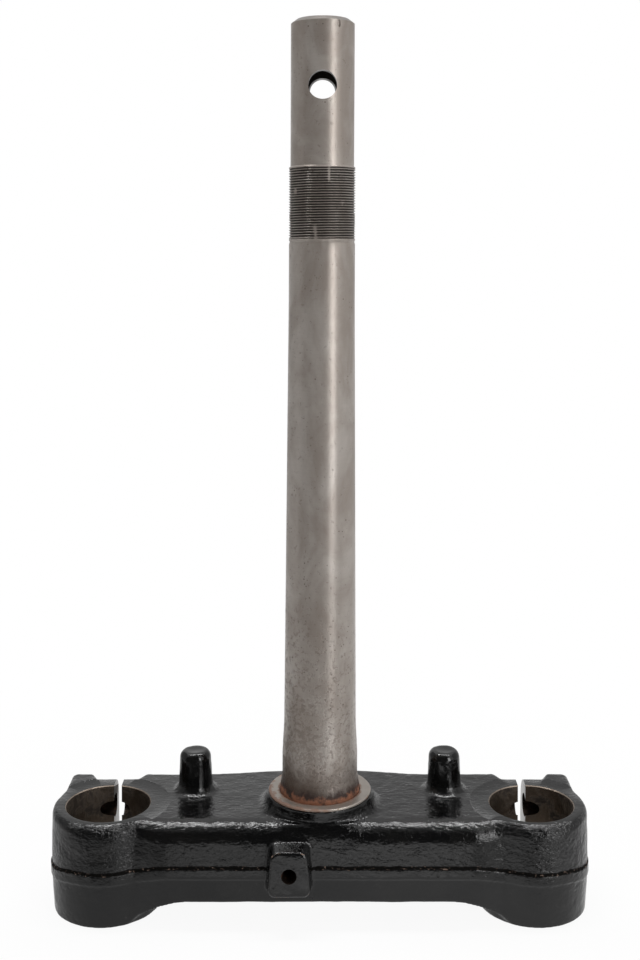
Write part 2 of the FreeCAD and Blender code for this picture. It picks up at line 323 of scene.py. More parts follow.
def mesh_points(mesh):
    """Vertex positions in millimetres."""
    return read_vectors(mesh.vertices, "co").astype(float) / MM


def move_points(mesh, points):
    """Gives the vertices new positions, in millimetres."""
    mesh.vertices.foreach_set("co", (points * MM).astype(np.float32).ravel())
    mesh.update()


def apply_modifiers(piece):
    """Replaces the piece's mesh with what its modifiers make of it."""
    graph = bpy.context.evaluated_depsgraph_get()
    mesh = bpy.data.meshes.new_from_object(piece.evaluated_get(graph))
    piece.modifiers.clear()
    old = piece.data
    piece.data = mesh
    bpy.data.meshes.remove(old)


def ring_angles(segments):
    """Evenly spaced angles of one turn."""
    return np.linspace(0, 2 * math.pi, segments, endpoint=False)


def polar_points(radius, angle, height):
    """Points round the z axis."""
    return np.stack([radius * np.cos(angle), radius * np.sin(angle), height], -1)


def level_ring(radius, level, segments):
    """Ring of points round the z axis at one height."""
    return polar_points(radius, ring_angles(segments), np.full(segments, level))


def ring_faces(rows, segments, closed=False):
    """Quads from each ring of points to the next, and from the last to the first if closed."""
    faces = []
    for row in range(rows if closed else rows - 1):
        low = row * segments
        high = (row + 1) % rows * segments
        for column in range(segments):
            after = (column + 1) % segments
            faces.append((low + column, low + after, high + after, high + column))
    return faces


def turned_solid(name, profile, origin, axis, segments):
    """Closed solid turned from (radius, distance) points along an axis letter with a sign."""
    angles = ring_angles(segments)
    along = "XYZ".index(axis[1])
    sign = 1 if axis[0] == "+" else -1
    rings = []
    for radius, distance in profile:
        ring = np.zeros((segments, 3))
        ring[:, along] = sign * distance
        ring[:, (along + 1) % 3] = radius * np.cos(angles)
        ring[:, (along + 2) % 3] = sign * radius * np.sin(angles)
        rings.append(ring + np.array(origin))
    faces = ring_faces(len(profile), segments)
    faces.append(tuple(range(segments))[::-1])
    last = (len(profile) - 1) * segments
    faces.append(tuple(range(last, last + segments)))
    return new_object(name, mesh_from(name, np.concatenate(rings), faces))


def block(name, low, high):
    """Closed box between two corners."""
    points = list(itertools.product(*zip(low, high)))
    faces = [(0, 1, 3, 2), (4, 6, 7, 5), (0, 4, 5, 1), (2, 3, 7, 6), (0, 2, 6, 4), (1, 5, 7, 3)]
    return new_object(name, mesh_from(name, points, faces))


def cut(piece, cutter):
    """Takes the cutter's solid out of the piece and deletes the cutter."""
    modifier = piece.modifiers.new("cut", "BOOLEAN")
    modifier.operation = "DIFFERENCE"
    modifier.solver = "MANIFOLD"
    modifier.object = cutter
    apply_modifiers(piece)
    mesh = cutter.data
    bpy.data.objects.remove(cutter)
    bpy.data.meshes.remove(mesh)


def yoke_cutters():
    """Every machined cut in the yoke."""
    depth = CLAMP_FOOT - 5
    for sign in (-1, 1):
        bore = [
            (FORK_R + BORE_EDGE + 5, depth),
            (FORK_R + BORE_EDGE, CLAMP_FOOT),
            (FORK_R, CLAMP_FOOT + BORE_EDGE),
            (FORK_R, FACED_TOP - BORE_EDGE),
            (FORK_R + BORE_EDGE, FACED_TOP),
            (FACING_R - 0.28, FACED_TOP),
            (FACING_R + 0.28, TOP),
            (FACING_R + 0.38, TOP + 5),
        ]
        yield turned_solid("bore_tool", bore, (sign * FORK_X, 0, 0), "+Z", FINE_RING)
        slit_low = (sign * SLIT_X - SLIT_WIDTH / 2, 0, depth)
        slit_high = (sign * SLIT_X + SLIT_WIDTH / 2, LUG_REAR + 5, TOP + 5)
        yield block("slit_tool", slit_low, slit_high)
        for level in BOLT_LEVELS:
            path = [
                (BOLT_CORE_R, BOLT_TIP_X),
                (BOLT_CORE_R, BOLT_LEAD_X),
                (BOLT_R, BOLT_LEAD_X),
                (BOLT_R, LUG_END_X + 8),
            ]
            axis = "+X" if sign > 0 else "-X"
            yield turned_solid("bolt_tool", path, (0, BOLT_Y, level), axis, SMALL_RING)
    tab = [
        (0.1, 12.6),
        (TAB_HOLE_R, 14.0),
        (TAB_HOLE_R, -TAB_FACE - 0.9),
        (TAB_HOLE_R + 0.45, -TAB_FACE),
        (TAB_HOLE_R + 1.45, 2 - TAB_FACE),
    ]
    yield turned_solid("tab_tool", tab, (TAB_X, 0, TAB_HOLE_Z), "-Y", SMALL_RING)
    stem = [
        (STEM_ROOT_R + 6, BEAM_FOOT - 5),
        (STEM_ROOT_R + 1, BEAM_FOOT),
        (STEM_ROOT_R, BEAM_FOOT + 1),
        (STEM_ROOT_R, BOSS_TOP + 5),
    ]
    yield turned_solid("stem_tool", stem, (0, 0, 0), "+Z", FINE_RING)


def forge_yoke():
    """Mesh of the forging, taken from its distance field and roughened a little."""
    low = np.array(GRID_LOW, np.float32)
    high = np.array(GRID_HIGH, np.float32)
    counts = np.ceil((high - low) / VOXEL).astype(int) + 1
    steps = [np.float32(VOXEL) * np.arange(count, dtype=np.float32) for count in counts]
    x, y, z = (start + step for start, step in zip(low, steps))
    field = yoke_field(x[:, None, None], y[None, :, None], z[None, None, :])
    grid = openvdb.FloatGrid()
    grid.background = 3 * VOXEL
    grid.copyFromArray(field.astype(np.float32))
    points, quads = grid.convertToQuads(0.0)
    points = points.astype(float) * VOXEL + low
    mesh = mesh_from("forged_yoke", points, quads[:, ::-1].astype(int).tolist())

    sway = np.zeros(len(points))
    for step, (height, width) in enumerate(FORGED_SKIN):
        sway = sway + height * lattice_noise(points, width, SEED + step)
    move_points(mesh, points + read_vectors(mesh.vertices, "normal") * sway[:, None])
    return mesh


def triangle_count(piece):
    mesh = piece.data
    return len(mesh.loops) - 2 * len(mesh.polygons)


def thin_to(piece, triangles):
    """Thins a mesh to about so many triangles."""
    modifier = piece.modifiers.new("thin", "DECIMATE")
    modifier.ratio = min(1.0, triangles / triangle_count(piece))
    apply_modifiers(piece)


def smooth_with_edges(piece, degrees):
    """Smooth shading with sharp edges where faces meet at more than the angle."""
    piece.data.shade_smooth()
    piece.data.set_sharp_from_angle(angle=math.radians(degrees))


def face_data(mesh):
    """Centres in millimetres and normals of a mesh's faces."""
    centres = read_vectors(mesh.polygons, "center").astype(float) / MM
    return centres, read_vectors(mesh.polygons, "normal")


def add_attribute(mesh, name, values):
    """Stores one value at each vertex, for the materials."""
    attribute = mesh.attributes.new(name, "FLOAT", "POINT")
    attribute.data.foreach_set("value", np.asarray(values, np.float32))


# Materials


def material_tree(name):
    """New material, its node tree and its surface shader."""
    material = bpy.data.materials.new(name)
    material.use_nodes = True
    return material, material.node_tree, material.node_tree.nodes["Principled BSDF"]


def add_node(tree, kind, inputs=None, **settings):
    """New node; an input is linked if it is another node's output, and else set."""
    made = tree.nodes.new(kind)
    for key, value in settings.items():
        setattr(made, key, value)
    for key, value in (inputs or {}).items():
        if isinstance(value, bpy.types.NodeSocket):
            tree.links.new(value, made.inputs[key])
        else:
            made.inputs[key].default_value = value
    return made


def set_inputs(tree, shader, inputs):
    """Links a value to each named input of the surface shader."""
    for name, value in inputs.items():
        tree.links.new(value, shader.inputs[name])


def object_coords(tree, stretch=(1, 1, 1)):
    """Object coordinates, multiplied along each axis."""
    coords = add_node(tree, "ShaderNodeTexCoord").outputs["Object"]
    inputs = {"Vector": coords, "Scale": stretch}
    return add_node(tree, "ShaderNodeMapping", inputs).outputs["Vector"]


def noise(tree, coords, size_mm, detail=3.0, roughness=0.55, distortion=0.0):
    """Noise with features about size_mm wide."""
    inputs = {
        "Vector": coords,
        "Scale": 1000.0 / size_mm,
        "Detail": detail,
        "Roughness": roughness,
        "Distortion": distortion,
    }
    return add_node(tree, "ShaderNodeTexNoise", inputs).outputs["Fac"]


def cell_distance(tree, coords, scale):
    """Distance from the nearest centre of scattered cells."""
    cells = add_node(tree, "ShaderNodeTexVoronoi", {"Vector": coords, "Scale": scale})
    return cells.outputs["Distance"]


def remap(tree, value, low, high, to_low=0.0, to_high=1.0, smooth=True):
    """Value carried from one range to another and held at its ends, smoothly if asked."""
    kind = "SMOOTHSTEP" if smooth else "LINEAR"
    inputs = {
        "Value": value,
        "From Min": low,
        "From Max": high,
        "To Min": to_low,
        "To Max": to_high,
    }
    made = add_node(tree, "ShaderNodeMapRange", inputs, interpolation_type=kind)
    return made.outputs["Result"]


def combine(tree, operation, first, *others):
    """Result of a math operation, taken from left to right."""
    for other in others:
        made = add_node(tree, "ShaderNodeMath", {0: first, 1: other}, operation=operation)
        first = made.outputs["Value"]
    return first


def plus(tree, *values):
    return combine(tree, "ADD", *values)


def minus(tree, first, second):
    return combine(tree, "SUBTRACT", first, second)


def times(tree, *values):
    return combine(tree, "MULTIPLY", *values)


def largest(tree, *values):
    return combine(tree, "MAXIMUM", *values)


def size_of(tree, value):
    return combine(tree, "ABSOLUTE", value, 0.0)


def mix_colour(tree, factor, first, second):
    """First colour at factor 0, second at factor 1."""
    made = add_node(tree, "ShaderNodeMix", data_type="RGBA")
    for index, value in ((0, factor), (6, first), (7, second)):
        if isinstance(value, bpy.types.NodeSocket):
            tree.links.new(value, made.inputs[index])
        elif index == 0:
            made.inputs[index].default_value = value
        else:
            made.inputs[index].default_value = (*value, 1)
    return made.outputs[2]


def bump(tree, height, depth_mm, strength=1.0, below=None):
    """Surface relief of a height from 0 to 1, laid over other relief if given."""
    inputs = {"Height": height, "Distance": depth_mm * MM, "Strength": strength}
    if below is not None:
        inputs["Normal"] = below
    return add_node(tree, "ShaderNodeBump", inputs).outputs["Normal"]


def axis_values(tree):
    """X, Y and Z of the object coordinates."""
    coords = add_node(tree, "ShaderNodeTexCoord").outputs["Object"]
    split = add_node(tree, "ShaderNodeSeparateXYZ", {"Vector": coords})
    return split.outputs["X"], split.outputs["Y"], split.outputs["Z"]


def axis_distance(tree, x, y):
    """Distance from the z axis."""
    flat = add_node(tree, "ShaderNodeCombineXYZ", {"X": x, "Y": y}).outputs["Vector"]
    made = add_node(tree, "ShaderNodeVectorMath", {0: flat}, operation="LENGTH")
    return made.outputs["Value"]


def mesh_value(tree, name):
    """A value stored on the mesh's vertices."""
    return add_node(tree, "ShaderNodeAttribute", attribute_name=name).outputs["Fac"]


def facing_up(tree):
    """How far the surface faces up, from -1 to 1."""
    normal = add_node(tree, "ShaderNodeNewGeometry").outputs["Normal"]
    return add_node(tree, "ShaderNodeSeparateXYZ", {"Vector": normal}).outputs["Z"]


def black_paint():
    """Gloss black over a forged skin: hammered grain, pits, and chips on worn edges."""
    material, tree, shader = material_tree("gloss_black_paint")
    coords = object_coords(tree)
    streaked = object_coords(tree, (0.75, 1.0, 1.1))
    x, y, z = axis_values(tree)
    up = remap(tree, facing_up(tree), 0.75, 0.97)
    side = size_of(tree, x)

    # Trimmed edge of the parting flash, which wanders a little. Along it the paint gets a painted
    # shade, a slightly darker colour with its reflection turned down, standing in for the shade of
    # a groove there.
    neck = [edge * MM for edge in NECK_X]
    ends = [edge * MM for edge in END_DIP_X]
    level = remap(tree, side, *neck, BEAM_PARTING * MM, CLAMP_PARTING * MM)
    level = plus(tree, level, remap(tree, side, *ends, 0.0, -END_DIP * MM))
    wander = remap(tree, noise(tree, streaked, 2.2, 2.0), 0.3, 0.7, -0.00022, 0.00022, False)
    above = plus(tree, minus(tree, z, level), wander)
    off_seam = size_of(tree, minus(tree, above, (FLASH_HALF + 0.2) * MM))
    seam_shade_band = times(
        tree,
        remap(tree, off_seam, 0.00078, 0.00045),
        remap(tree, facing_up(tree), 0.8, 0.5),
        remap(tree, y, -0.0236, -0.0229),
    )

    # Chips where the paint has worn off, and flecks along the seam
    worn = times(tree, mesh_value(tree, "worn"), 0.55)
    ragged = noise(tree, coords, 1.1, 4.0, 0.65)
    chips = remap(tree, plus(tree, worn, ragged), 0.86, 0.92)
    flecks = noise(tree, object_coords(tree, (0.7, 1, 1)), 1.0, 3.0, 0.7)
    flecks = times(tree, remap(tree, flecks, 0.60, 0.66), seam_shade_band, 0.6)
    chips = largest(tree, chips, flecks)

    cloud = remap(tree, noise(tree, coords, 14.0, 4.0, 0.6), 0.35, 0.7)
    paint = mix_colour(tree, cloud, (0.0024, 0.0024, 0.0026), (0.0056, 0.0054, 0.0052))
    # Painted shade: the paint darkened along the seam
    paint = mix_colour(tree, times(tree, seam_shade_band, 0.85), paint, (0.004, 0.0035, 0.003))
    bare = noise(tree, coords, 0.8, 2.0)
    bare = mix_colour(tree, bare, (0.22, 0.12, 0.08), (0.45, 0.35, 0.29))
    gloss = remap(tree, noise(tree, coords, 3.5, 5.0, 0.7), 0.3, 0.75, 0.06, 0.13, False)
    dull = times(tree, largest(tree, chips, seam_shade_band), 0.55)

    # Relief, strongest on the clamps' walls, calmer on the beam, the tops and the posts
    below_seam = remap(tree, above, -0.0020, 0.0030, 0.35, 1.0)
    steep = times(tree, minus(tree, 1.0, up), remap(tree, side, 0.064, 0.074, 0.36, 0.85))
    posts = remap(tree, z, (TOP + 1.5) * MM, (TOP + 4.0) * MM, 1.0, 0.25)
    calm = times(tree, plus(tree, steep, times(tree, up, 0.27)), below_seam, posts)
    waves = bump(tree, noise(tree, streaked, 5.5, 3.0, 0.5), 1.00, calm)
    grain = bump(tree, noise(tree, streaked, 1.35, 3.0, 0.6, 0.4), 0.72, calm, waves)
    pits = remap(tree, cell_distance(tree, streaked, 420.0), 0.05, 0.30)
    sparse = remap(tree, noise(tree, coords, 7.0, 2.0), 0.52, 0.66)
    pitted = bump(tree, largest(tree, pits, minus(tree, 1.0, sparse)), 0.14, 0.8, grain)
    sunk = minus(tree, 1.0, largest(tree, seam_shade_band, chips))

    inputs = {
        "Base Color": mix_colour(tree, chips, paint, bare),
        "Roughness": largest(tree, gloss, dull),
        "Metallic": times(tree, chips, 0.7),
        "Normal": bump(tree, sunk, 0.12, 1.0, pitted),
        # Painted shade: reflection turned down along the seam, and on the chips
        "Specular IOR Level": remap(tree, minus(tree, seam_shade_band, chips), 0.0, 1.0, 0.5, 0.04, False),
    }
    set_inputs(tree, shader, inputs)
    shader.inputs["IOR"].default_value = 1.5
    return material


def bare_steel(name, light, dark, stain, stain_size, rough, stain_from):
    """Bare steel with a stain that gathers in patches."""
    material, tree, shader = material_tree(name)
    coords = object_coords(tree)
    cloud = noise(tree, coords, stain_size, 5.0, 0.65, 0.4)
    fine = noise(tree, coords, 0.9, 3.0, 0.6)
    steel = mix_colour(tree, fine, dark, light)
    patches = remap(tree, cloud, stain_from, stain_from + 0.16)
    inputs = {
        "Base Color": mix_colour(tree, patches, steel, stain),
        "Roughness": remap(tree, patches, 0.0, 1.0, rough, min(0.8, rough + 0.25), False),
        "Metallic": remap(tree, patches, 0.0, 1.0, 0.95, 0.35, False),
        "Normal": bump(tree, fine, 0.03, 0.6, bump(tree, cloud, 0.05)),
    }
    set_inputs(tree, shader, inputs)
    return material


def stem_steel():
    """Turned, handled steel: brown-grey bloom, dark specks, black grooves and rust at the foot."""
    material, tree, shader = material_tree("turned_stem_steel")
    coords = object_coords(tree)
    x, y, z = axis_values(tree)
    rings = noise(tree, object_coords(tree, (0.15, 0.15, 2.2)), 1.0, 2.0, 0.5)
    cloud = noise(tree, object_coords(tree, (1.0, 1.0, 0.6)), 16.0, 5.0, 0.6, 0.5)
    cloud = remap(tree, cloud, 0.34, 0.68)
    steel = mix_colour(tree, cloud, (0.325, 0.280, 0.246), (0.475, 0.434, 0.398))
    steel = mix_colour(tree, times(tree, rings, 0.25), steel, (0.25, 0.22, 0.195))
    # Painted shade: the stem's top end is darker where it faces up, against the overhead light
    end = remap(tree, z, 0.3009, 0.3015)
    end = times(tree, end, remap(tree, facing_up(tree), 0.15, 0.4), 0.80)
    steel = mix_colour(tree, end, steel, (0.11, 0.098, 0.088))

    # Stains and specks, more of them towards the foot
    low = times(tree, remap(tree, z, 0.115, 0.0), 0.13)
    left = remap(tree, x, 0.012, -0.012, 0.0, 0.05, False)
    blotch = noise(tree, coords, 1.7, 6.0, 0.70, 0.4)
    stains = remap(tree, plus(tree, blotch, plus(tree, low, left)), 0.60, 0.74)
    steel = mix_colour(tree, times(tree, stains, 0.50), steel, (0.115, 0.088, 0.070))
    often = plus(tree, noise(tree, coords, 9.0, 3.0), low)
    specks = remap(tree, cell_distance(tree, coords, 560.0), 0.22, 0.10)
    specks = times(tree, specks, remap(tree, often, 0.52, 0.66))
    steel = mix_colour(tree, times(tree, specks, 0.8), steel, (0.085, 0.065, 0.052))

    groove = remap(tree, mesh_value(tree, "groove"), 0.10, 0.75)
    steel = mix_colour(tree, groove, steel, (0.045, 0.038, 0.034))

    # Rust just above the washer, with a band over it of soot and painted shade, darkest on the
    # left side away from the lamp
    ragged = minus(tree, noise(tree, coords, 4.0, 5.0, 0.7), 0.5)
    edge = plus(tree, z, times(tree, ragged, 0.0075))
    rust = remap(tree, edge, 0.0058, 0.0024)
    warm = remap(tree, z, 0.0045, 0.0, -0.20, 0.12)
    warm = plus(tree, warm, noise(tree, coords, 3.2, 5.0, 0.7))
    warm = remap(tree, warm, 0.38, 0.66)
    shade = mix_colour(tree, warm, (0.032, 0.015, 0.010), (0.26, 0.105, 0.055))
    soot_and_shade = remap(tree, edge, 0.0185, 0.0045)
    soot_and_shade = times(tree, soot_and_shade, remap(tree, x, -0.013, 0.008, 1.0, 0.66))
    steel = mix_colour(tree, soot_and_shade, steel, (0.086, 0.061, 0.046))

    # Painted shade inside the bore, round the leaning stem's own axis
    shift = times(tree, minus(tree, z, 0.010), STEM_LEAN)
    inside = times(
        tree,
        remap(tree, axis_distance(tree, minus(tree, x, shift), y), 0.0122, 0.0117),
        remap(tree, z, 0.255, 0.260),
        remap(tree, z, 0.2965, 0.2955),
        0.92,
    )
    steel = mix_colour(tree, inside, steel, (0.020, 0.016, 0.013))

    satin = remap(tree, noise(tree, coords, 3.0, 5.0, 0.7), 0.3, 0.7, 0.27, 0.36, False)
    dull = largest(tree, times(tree, stains, 0.5), times(tree, rust, 0.62))
    marks = largest(tree, times(tree, stains, 0.35), times(tree, rust, 0.9))
    turned = bump(tree, rings, 0.012, 0.8)
    mottled = bump(tree, noise(tree, coords, 1.6, 4.0, 0.7), 0.05, 0.7, turned)
    sunk = minus(tree, 1.0, largest(tree, specks, stains))
    inputs = {
        "Base Color": mix_colour(tree, rust, steel, shade),
        "Roughness": largest(tree, satin, dull),
        "Metallic": remap(tree, marks, 0.0, 1.0, 0.40, 0.05, False),
        "Normal": bump(tree, sunk, 0.05, 0.8, mottled),
    }
    set_inputs(tree, shader, inputs)
    return material


def washer_steel():
    """Thin steel washer, rusted at its hole and on the front left of its rim."""
    material, tree, shader = material_tree("washer_plain_steel")
    coords = object_coords(tree)
    x, y, _ = axis_values(tree)
    radius = axis_distance(tree, x, y)
    ragged = noise(tree, coords, 3.5, 5.0, 0.7, 0.4)
    inner = remap(tree, plus(tree, radius, times(tree, ragged, -0.004)), 0.0150, 0.0142)
    corner = plus(tree, times(tree, x, -18.0), times(tree, y, -12.0))
    outer = plus(tree, remap(tree, radius, 0.0170, 0.0204, 0.0, 0.30), corner, ragged)
    outer = remap(tree, outer, 0.93, 1.10)
    patchy = remap(tree, noise(tree, coords, 5.0, 3.0), 0.54, 0.64)
    rim = times(tree, remap(tree, radius, 0.0198, 0.0202), patchy)
    rust = largest(tree, inner, outer, rim)
    steel = noise(tree, coords, 6.0, 4.0)
    steel = mix_colour(tree, steel, (0.265, 0.23, 0.20), (0.41, 0.375, 0.335))
    shade = noise(tree, coords, 1.8, 5.0, 0.7)
    shade = mix_colour(tree, shade, (0.085, 0.042, 0.028), (0.28, 0.15, 0.098))
    inputs = {
        "Base Color": mix_colour(tree, times(tree, rust, 0.85), steel, shade),
        "Roughness": remap(tree, rust, 0.0, 1.0, 0.34, 0.62, False),
        "Metallic": remap(tree, rust, 0.0, 1.0, 0.65, 0.1, False),
        "Normal": bump(tree, noise(tree, coords, 1.2, 4.0, 0.7), 0.05, 0.7),
    }
    set_inputs(tree, shader, inputs)
    return material


PAINT, BORED, BORE_EDGED, SAWN, SHADED_DRILLED = range(5)


def yoke_finishes():
    """The yoke's materials, in the order of the numbers above."""
    bored = bare_steel(
        "bored_steel",
        light=(0.30, 0.25, 0.205),
        dark=(0.15, 0.12, 0.095),
        stain=(0.035, 0.026, 0.020),
        stain_size=8.0,
        rough=0.36,
        stain_from=0.47,
    )
    bore_edged = bare_steel(
        "bore_edge_steel",
        light=(0.40, 0.34, 0.28),
        dark=(0.24, 0.19, 0.155),
        stain=(0.12, 0.08, 0.06),
        stain_size=3.0,
        rough=0.38,
        stain_from=0.52,
    )
    sawn = bare_steel(
        "sawn_steel",
        light=(0.60, 0.59, 0.58),
        dark=(0.40, 0.39, 0.38),
        stain=(0.08, 0.068, 0.06),
        stain_size=5.0,
        rough=0.30,
        stain_from=0.58,
    )
    # Near black: painted shade inside the drilled holes, with rust-coloured patches
    shaded_drilled = bare_steel(
        "drilled_steel_painted_shade",
        light=(0.060, 0.044, 0.035),
        dark=(0.025, 0.018, 0.014),
        stain=(0.07, 0.030, 0.014),
        stain_size=2.5,
        rough=0.5,
        stain_from=0.52,
    )
    return [black_paint(), bored, bore_edged, sawn, shaded_drilled]


def sort_yoke_faces(mesh):
    """Material number of each face, found from where it lies and how it faces."""
    near = 0.02
    centres, normals = face_data(mesh)
    x, y, z = centres.T
    across, _, upright = np.abs(normals.T)
    side = np.abs(x)
    radius = np.hypot(side - FORK_X, y)
    kind = np.full(len(centres), PAINT, np.int32)
    sawn = np.abs(np.abs(side - SLIT_X) - SLIT_WIDTH / 2) < 0.03
    sawn = sawn & (across > 0.98) & (y > 0)
    kind[sawn] = SAWN
    kind[(radius < FORK_R + near) & (upright < 0.1) & ~sawn] = BORED
    sloped = (upright > 0.5) & (upright < 0.9)
    kind[(radius < FORK_R + BORE_EDGE + near) & sloped & (z < TOP)] = BORE_EDGED
    # Bolt holes and the tab hole take the near-black finish: painted shade inside them
    for level in BOLT_LEVELS:
        reach = np.hypot(y - BOLT_Y, z - level)
        kind[(reach < BOLT_R + near) & (side < LUG_END_X + 0.1) & ~sawn] = SHADED_DRILLED
    reach = np.hypot(x - TAB_X, z - TAB_HOLE_Z)
    kind[(reach < TAB_HOLE_R + 0.44) & (y > TAB_FACE - 0.5) & (y < -11)] = SHADED_DRILLED
    kind[np.hypot(x, y) < STEM_ROOT_R + near] = BORED
    return kind


def worn_edges(mesh):
    """Where the paint has worn off: the tab's front outline, most at its upper corners."""
    x, y, z = mesh_points(mesh).T
    ahead = y - TAB_FACE
    near = np.exp(-((tab_outline(x, y, z) / 0.55) ** 2) - (ahead / 0.7) ** 2)
    corner = np.hypot(np.abs(x - TAB_X) - TAB_TOP_HALF + 1.2, z - TAB_TOP + 1.2)
    worn = near * (0.68 + 0.60 * np.exp(-((corner / 1.6) ** 2)))
    mouth = np.abs(np.hypot(x - TAB_X, z - TAB_HOLE_Z) - TAB_HOLE_R - 0.62)
    lip = np.exp(-((mouth / 0.25) ** 2) - (ahead / 0.5) ** 2)
    return np.maximum(worn, 0.60 * lip)


def make_yoke():
    """The forging with its machined cuts, finishes and worn edges."""
    piece = new_object("forged_yoke", forge_yoke())
    thin_to(piece, YOKE_TRIANGLES)
    for cutter in yoke_cutters():
        cut(piece, cutter)
    mesh = piece.data
    mesh.materials.clear()
    for finish in yoke_finishes():
        mesh.materials.append(finish)
    mesh.polygons.foreach_set("material_index", sort_yoke_faces(mesh))
    add_attribute(mesh, "worn", worn_edges(mesh))
    smooth_with_edges(piece, 38)
    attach(piece, "root")
    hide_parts("lower_yoke")
    return piece


# The stem's outside as (height, radius), and its bore from the top down
STEM_PROFILE = [
    (STEM_BOTTOM, 14.95),
    (STEM_BOTTOM + 0.8, STEM_ROOT_R),
    (1.0, STEM_ROOT_R),
    (7.0, 14.85),
    (15.0, 14.85),
    (27.3, 14.2),
    (194.0, 12.93),
    (216.1, 12.92),
    (217.0, 12.60),
    (THREAD_START, 12.98),
    (THREAD_END, THREAD_R),
    (THREAD_END + 0.5, 12.4),
    (STEM_TOP - 1.6, 12.4),
    (STEM_TOP, 10.3),
]
BORE_PROFILE = [
    (STEM_TOP, STEM_BORE_R + 0.8),
    (STEM_TOP - 0.8, STEM_BORE_R),
    (200.0, STEM_BORE_R),
    (100.0, STEM_BORE_R),
    (0.0, STEM_BORE_R),
    (STEM_BOTTOM + 0.8, STEM_BORE_R),
    (STEM_BOTTOM, STEM_BORE_R + 0.8),
]


def stem_levels():
    """Heights of the stem's rings of points: close together where the form changes."""
    levels = [level for level, radius in STEM_PROFILE]
    levels += [STEM_BOTTOM + 0.3, 0.4, 0.8, 1.2, 1.6, 6.6, 7.4, 14.6, 15.4, 27.0, 27.6]
    levels += [245.9, STEM_TOP - 1.8, STEM_TOP - 1.4]
    levels += list(np.arange(2.0, 30.0, 1.0))
    levels += list(np.arange(36.0, 214.0, 6.0))
    levels += list(np.arange(THREAD_START, THREAD_END, THREAD_PITCH / 10))
    levels += list(np.arange(250.0, 301.0, 4.0))
    return np.unique(np.round(levels, 3))


def threaded_radius(plain, angle, height):
    """The stem's radius with its helical thread, and how deep in the thread each point lies."""
    turn = (height / THREAD_PITCH - angle / (2 * math.pi)) % 1.0
    flank = np.clip((0.86 - np.abs(turn - 0.5) * 2) / 0.72, 0, 1)
    cut_in = ramp(height, THREAD_START - 0.1, THREAD_START + 0.9)
    cut_in = cut_in * (1 - ramp(height, THREAD_END - 0.7, THREAD_END))

    # Bruises and dings of the crests, and a chewed edge below the thread
    spots = polar_points(plain, angle, height).reshape(-1, 3)
    bruise = lattice_noise(spots * (1, 1, 0.55), 2.6, SEED + 3).reshape(height.shape)
    crushed = ramp(bruise, 0.52, 0.80)
    groove = flank * cut_in * (1 - 0.75 * crushed)
    radius = plain - 0.60 * groove - 0.10 * crushed * cut_in
    dings = lattice_noise(spots, 1.9, SEED + 4).reshape(height.shape)
    radius = radius - 0.12 * ramp(dings, 0.5, 0.9) * cut_in
    chewed = lattice_noise(spots, 1.4, SEED + 5).reshape(height.shape)
    radius = radius - 0.16 * ramp(chewed, 0.1, 0.7) * np.exp(-(((height - 217.2) / 0.7) ** 2))
    return radius, groove * 0.9 + 0.15 * cut_in


def make_stem():
    """Turned tube with a real helical thread, cross hole and the small dent near its end."""
    segments = 168
    levels = stem_levels()
    profile = np.array(STEM_PROFILE)
    plain = np.interp(levels, profile[:, 0], profile[:, 1])
    height, angle = np.meshgrid(levels, ring_angles(segments), indexing="ij")
    plain = np.repeat(plain[:, None], segments, axis=1)
    radius, depth = threaded_radius(plain, angle, height)
    outer = polar_points(radius, angle, height).reshape(-1, 3)
    inner = [level_ring(reach, level, segments) for level, reach in BORE_PROFILE]
    faces = ring_faces(len(levels) + len(inner), segments, closed=True)
    mesh = mesh_from("steering_stem", np.concatenate([outer, *inner]), faces)
    add_attribute(mesh, "groove", np.concatenate([depth.ravel(), np.zeros(len(inner) * segments)]))
    piece = new_object("turned_stem", mesh)

    narrow = CROSS_HOLE_R - 0.5
    hole = [(CROSS_HOLE_R, -20.0), (CROSS_HOLE_R, 5.0), (narrow, 11.0), (narrow, 20.0)]
    cut(piece, turned_solid("hole_tool", hole, (0, 0, CROSS_HOLE_Z), "+Y", SMALL_RING))
    steps = np.linspace(0.02, math.pi - 0.02, 16)
    dent = [(0.78 * math.sin(step), -1.5 * math.cos(step)) for step in steps]
    cut(piece, turned_solid("dent_tool", dent, (6.2, -10.85, 299.8), "+Z", 32))
    points = mesh_points(piece.data)
    points[:, 0] += STEM_LEAN * np.maximum(points[:, 2] - 10, 0)
    move_points(piece.data, points)
    piece.data.materials.clear()
    piece.data.materials.append(stem_steel())
    smooth_with_edges(piece, 28)
    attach(piece, "root")
    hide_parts("steering_stem")
    return piece


def make_washer():
    """Thin pressed washer with a rolled rim, not quite flat."""
    profile = [
        (WASHER_HOLE_R, -0.86),
        (WASHER_HOLE_R + 0.2, -0.9),
        (WASHER_R - 0.3, -0.9),
        (WASHER_R - 0.06, -0.78),
        (WASHER_R, -0.5),
        (WASHER_R - 0.02, -0.25),
        (WASHER_R - 0.2, -0.04),
        (WASHER_R - 0.5, 0.0),
        (WASHER_R - 2.0, -0.03),
        (WASHER_HOLE_R + 0.9, -0.03),
        (WASHER_HOLE_R + 0.25, -0.01),
        (WASHER_HOLE_R, -0.08),
    ]
    segments = FINE_RING
    rings = []
    for reach, level in profile:
        spot = level_ring(reach, level, segments)
        wobble = 0.05 * lattice_noise(spot + 40, 4.0, SEED + 6) * (reach > 19)
        spot[:, :2] *= (1 - np.abs(wobble) / reach)[:, None]
        rings.append(spot)
    faces = ring_faces(len(profile), segments, closed=True)
    mesh = mesh_from("plain_washer", np.concatenate(rings), faces)
    piece = new_object("plain_washer", mesh)
    piece.data.materials.append(washer_steel())
    smooth_with_edges(piece, 50)
    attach(piece, "root")
    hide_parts("dust_washer")
    return piece


